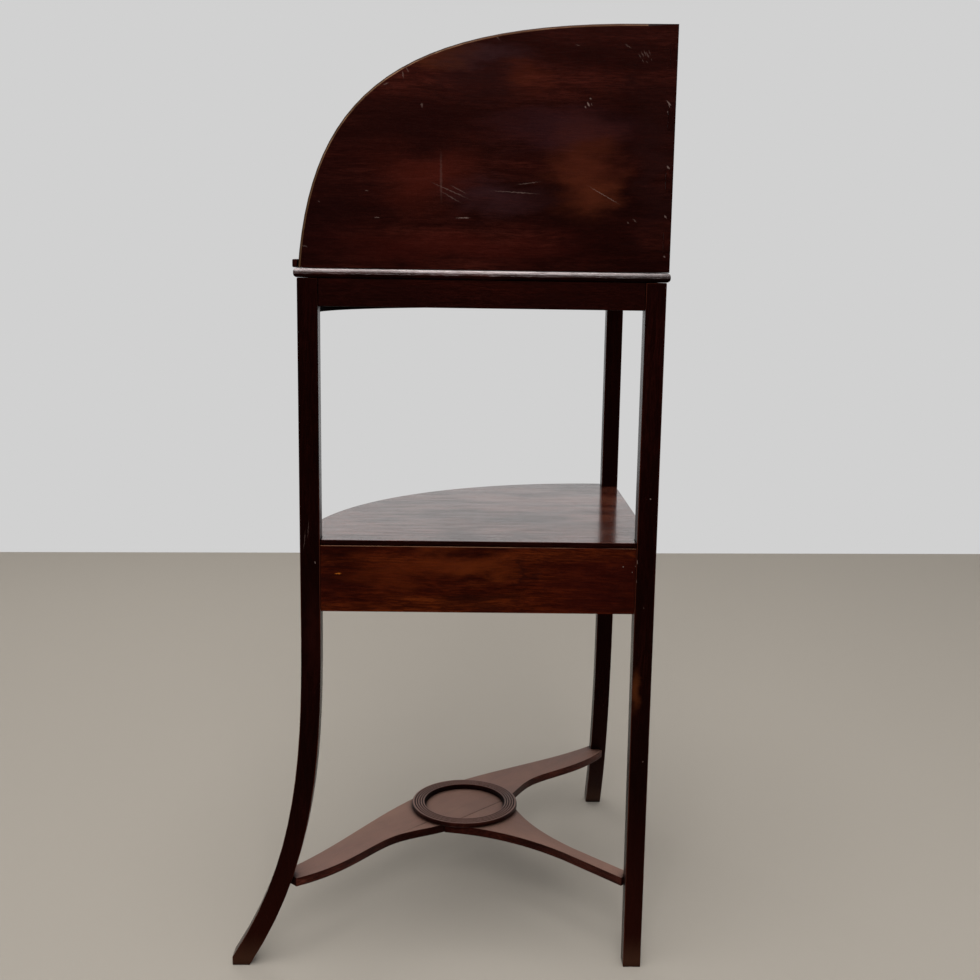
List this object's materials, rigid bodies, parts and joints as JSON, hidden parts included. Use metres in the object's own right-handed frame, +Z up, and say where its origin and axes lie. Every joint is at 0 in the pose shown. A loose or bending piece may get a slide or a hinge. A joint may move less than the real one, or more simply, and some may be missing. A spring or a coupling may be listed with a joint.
{
  "type": "corner stand",
  "caption": "Bow-fronted corner washstand with a two-panel splash back, a shelf over a drawer, swept front legs and a stretcher with a dished ring.",
  "frame": {"origin": "middle of the bounding box on the floor plane; the rear leg stands at +Y", "axes": "+Z up; -Y is the bowed front with the drawer and +Y the rear corner; +X is on the right of someone who faces the drawer"},
  "size_m": [0.7042, 0.443, 1.1003],
  "materials": {
    "leg_mahogany": "old wax over dark french polish, satin",
    "panel_mahogany": "old french polish, satin, with a few scuffs",
    "polished_mahogany": "glossy french polish",
    "apron_mahogany": "old french polish, satin",
    "stretcher_mahogany": "worn and dusty polish",
    "drawer_oak": "bare, planed",
    "plain_pine": "bare, sawn",
    "knob_brass": "turned, dull with age",
    "screw_iron": "bare, dark"
  },
  "bodies": {
    "stand": {"cross_stretcher": "stretcher_mahogany", "curved_top_frieze": "leg_mahogany", "dish_ring": "stretcher_mahogany", "front_bottom_bar": "apron_mahogany", "front_lip": "polished_mahogany", "front_top_bar": "apron_mahogany", "left_apron": "apron_mahogany", "left_drawer_guide": "plain_pine", "left_drawer_post": "apron_mahogany", "left_drawer_runner": "plain_pine", "left_drawer_stop": "plain_pine", "left_dummy_bead": "apron_mahogany", "left_dummy_front": "apron_mahogany", "left_dummy_knob": "knob_brass", "left_frieze_block": "plain_pine", "left_front_leg": "leg_mahogany", "left_front_panel_screw": "screw_iron", "left_rear_panel_screw": "screw_iron", "left_ring_peg": "plain_pine", "left_shelf_block": "plain_pine", "left_splash_panel": "panel_mahogany", "left_top_block": "plain_pine", "left_top_rail": "leg_mahogany", "rear_leg": "leg_mahogany", "rear_ring_peg": "plain_pine", "rear_shelf_block": "plain_pine", "rear_stretcher": "stretcher_mahogany", "rear_top_block": "plain_pine", "right_apron": "apron_mahogany", "right_drawer_guide": "plain_pine", "right_drawer_post": "apron_mahogany", "right_drawer_runner": "plain_pine", "right_drawer_stop": "plain_pine", "right_dummy_bead": "apron_mahogany", "right_dummy_front": "apron_mahogany", "right_dummy_knob": "knob_brass", "right_frieze_block": "plain_pine", "right_front_leg": "leg_mahogany", "right_front_panel_screw": "screw_iron", "right_rear_panel_screw": "screw_iron", "right_ring_peg": "plain_pine", "right_shelf_block": "plain_pine", "right_splash_panel": "panel_mahogany", "right_top_block": "plain_pine", "right_top_rail": "leg_mahogany", "shelf_board": "polished_mahogany", "top_board": "polished_mahogany"},
    "drawer": {"drawer_front": "apron_mahogany", "drawer_bead": "apron_mahogany", "drawer_knob": "knob_brass", "left_drawer_side": "drawer_oak", "right_drawer_side": "drawer_oak", "drawer_back": "drawer_oak", "drawer_bottom": "drawer_oak"}
  },
  "joints": [
    {"name": "drawer_slide", "type": "slide", "parent": "stand", "child": "drawer", "axis": [0, -1, 0], "range_m": [0, 0.2]}
  ]
}
